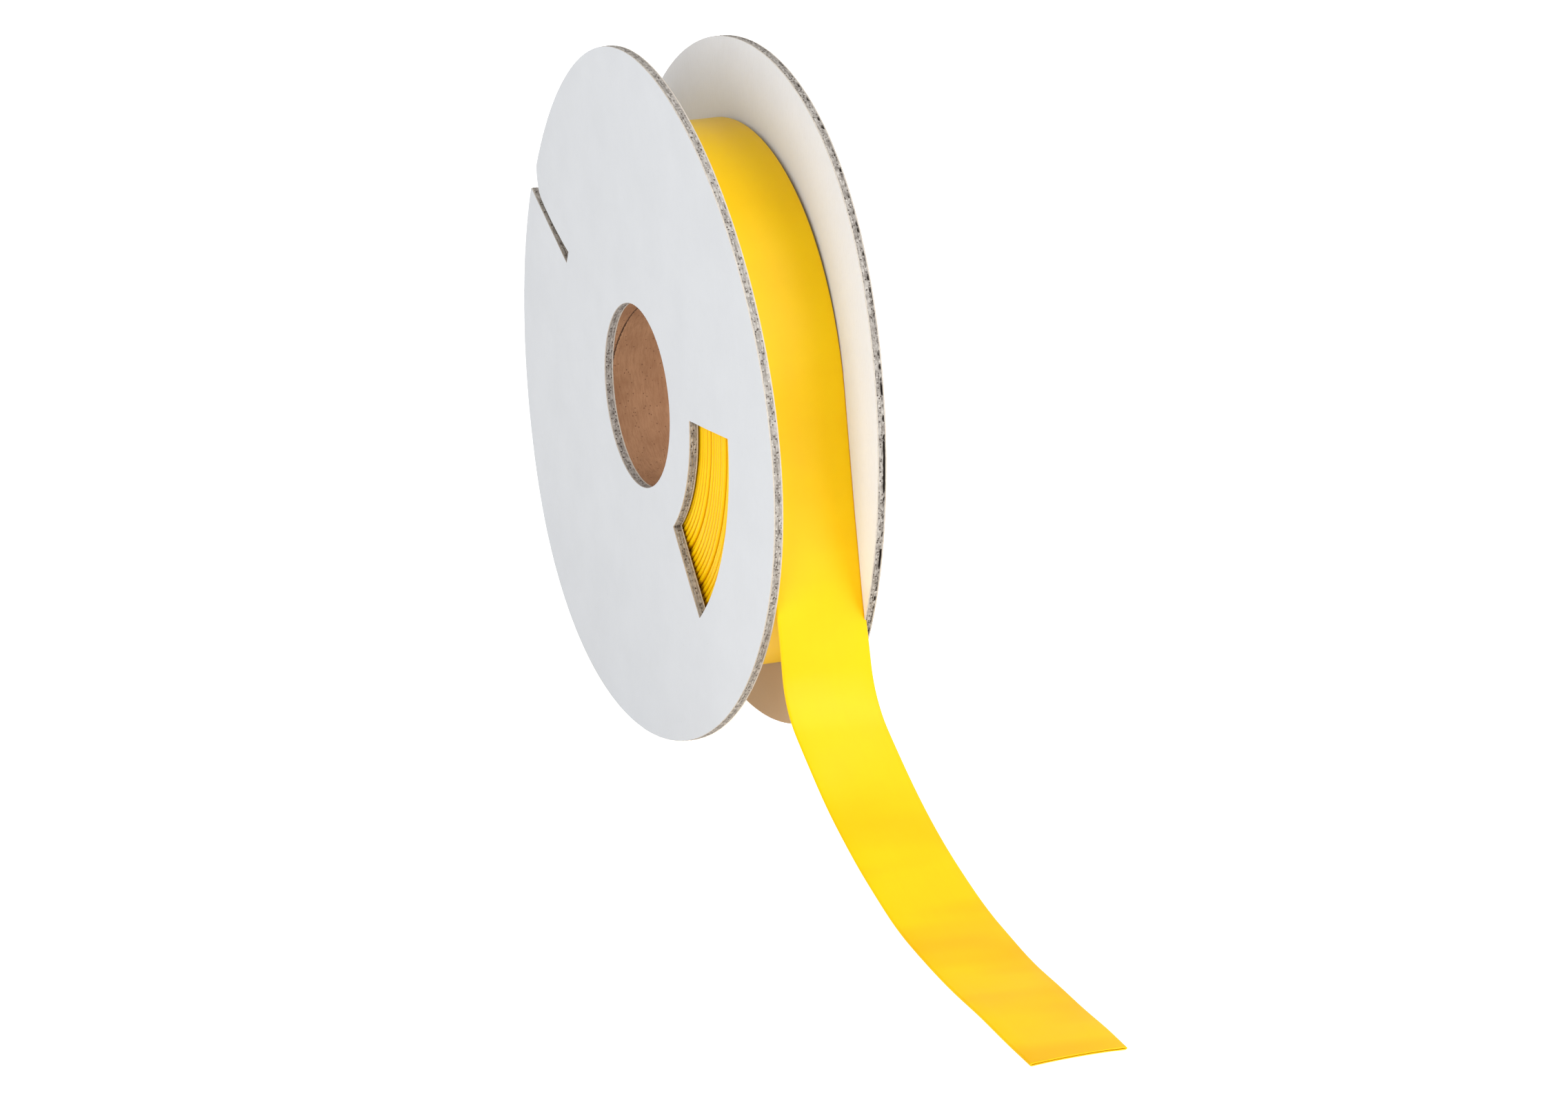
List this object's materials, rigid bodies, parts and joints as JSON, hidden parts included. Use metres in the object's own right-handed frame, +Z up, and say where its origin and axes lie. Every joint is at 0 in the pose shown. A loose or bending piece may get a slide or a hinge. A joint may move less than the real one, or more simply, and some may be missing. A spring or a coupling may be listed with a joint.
{
  "type": "tubing reel",
  "caption": "Card-flanged reel of wound flat yellow tubing on a kraft core, with a sight window, a rim slit and a loose end that unwinds and flexes.",
  "frame": {"origin": "centre of the bore, midway between the flanges", "axes": "+Y along the spin axis from the front (windowed) flange to the rear flange, +Z up, +X the side the loose end leaves"},
  "size_m": [0.2684, 0.0276, 0.15],
  "materials": {
    "white_liner": "matt white paper",
    "grey_board": "speckled recycled grey board",
    "kraft_core": "spiral-wound brown kraft",
    "glue": "dried white glue",
    "strip": "matt paper tape",
    "tubing": "satin yellow polyolefin"
  },
  "bodies": {
    "reel": {"front_outer_liner": "white_liner", "front_outer_ply": "grey_board", "front_inner_ply": "grey_board", "front_inner_liner": "white_liner", "rear_inner_liner": "white_liner", "rear_inner_ply": "grey_board", "rear_outer_ply": "grey_board", "rear_outer_liner": "white_liner", "core_inner_ply": "kraft_core", "core_body_ply": "kraft_core", "core_outer_ply": "kraft_core", "front_glue_bead": "glue", "rear_glue_bead": "glue", "anchor_strip": "strip", "wound_tubing": "tubing"},
    "tape_lead": {"outer_wrap": "tubing", "tail_drop": "tubing"},
    "tail_bend": {"tail_bend": "tubing"},
    "tail_sweep": {"tail_sweep": "tubing"},
    "tail_end": {"tail_end": "tubing"}
  },
  "joints": [
    {"name": "unwind", "type": "hinge", "parent": "reel", "child": "tape_lead", "pos_m": [0, 0, 0], "axis": [0, 1, 0], "continuous": true},
    {"name": "tail_flex_1", "type": "hinge", "parent": "tape_lead", "child": "tail_bend", "pos_m": [0.07313, 0.0005, -0.0468], "axis": [0, 1, 0], "range_deg": [-35, 12], "stiffness_Nm_per_rad": 0.004},
    {"name": "tail_flex_2", "type": "hinge", "parent": "tail_bend", "child": "tail_sweep", "pos_m": [0.10679, 0.0005, -0.06596], "axis": [0, 1, 0], "range_deg": [-30, 18], "stiffness_Nm_per_rad": 0.004},
    {"name": "tail_flex_3", "type": "hinge", "parent": "tail_sweep", "child": "tail_end", "pos_m": [0.14978, 0.0005, -0.07431], "axis": [0, 1, 0], "range_deg": [-30, 18], "stiffness_Nm_per_rad": 0.004}
  ]
}
